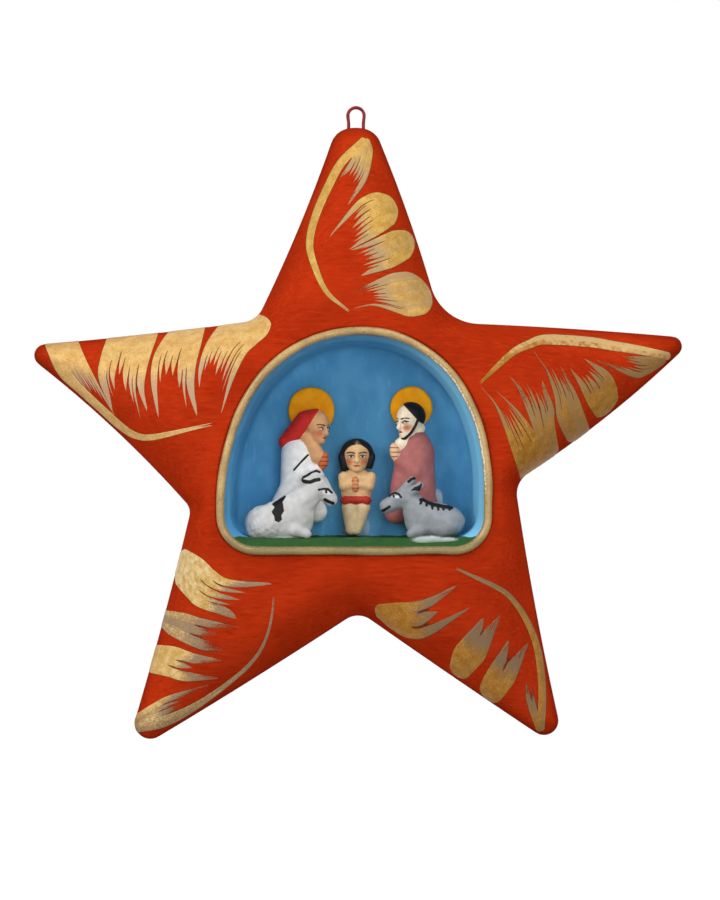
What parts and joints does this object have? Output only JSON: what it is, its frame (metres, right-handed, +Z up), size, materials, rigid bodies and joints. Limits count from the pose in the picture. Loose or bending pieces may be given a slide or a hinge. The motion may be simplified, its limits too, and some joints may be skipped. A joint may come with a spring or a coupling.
{
  "type": "ceramic star ornament",
  "caption": "Hand-painted hollow ceramic star with an arched niche of small glued clay figures, hung from a wire eye in its top tip.",
  "frame": {"origin": "hanging point, inside the crown of the wire eye", "axes": "+Z up, +X to the right of someone facing the star, -Y out of the front"},
  "size_m": [0.1149, 0.0212, 0.1126],
  "materials": {
    "red_paint": "satin paint",
    "gold_rim": "satin gold paint",
    "halo_gold": "satin paint",
    "robe_white": "satin paint",
    "robe_pink": "satin paint",
    "skin": "satin paint",
    "ox_white": "satin paint",
    "donkey_grey": "satin paint",
    "wire_red": "satin paint",
    "glue": "clear gloss"
  },
  "bodies": {
    "root": {"star_front": "red_paint", "star_back": "red_paint", "niche_rim": "gold_rim", "woman_halo": "halo_gold", "man_halo": "halo_gold", "kneeling_woman": "robe_white", "kneeling_man": "robe_pink", "infant": "skin", "ox": "ox_white", "donkey": "donkey_grey", "woman_glue": "glue", "man_glue": "glue", "infant_glue": "glue", "ox_glue": "glue", "donkey_glue": "glue", "hanger_loop": "wire_red"}
  },
  "joints": []
}
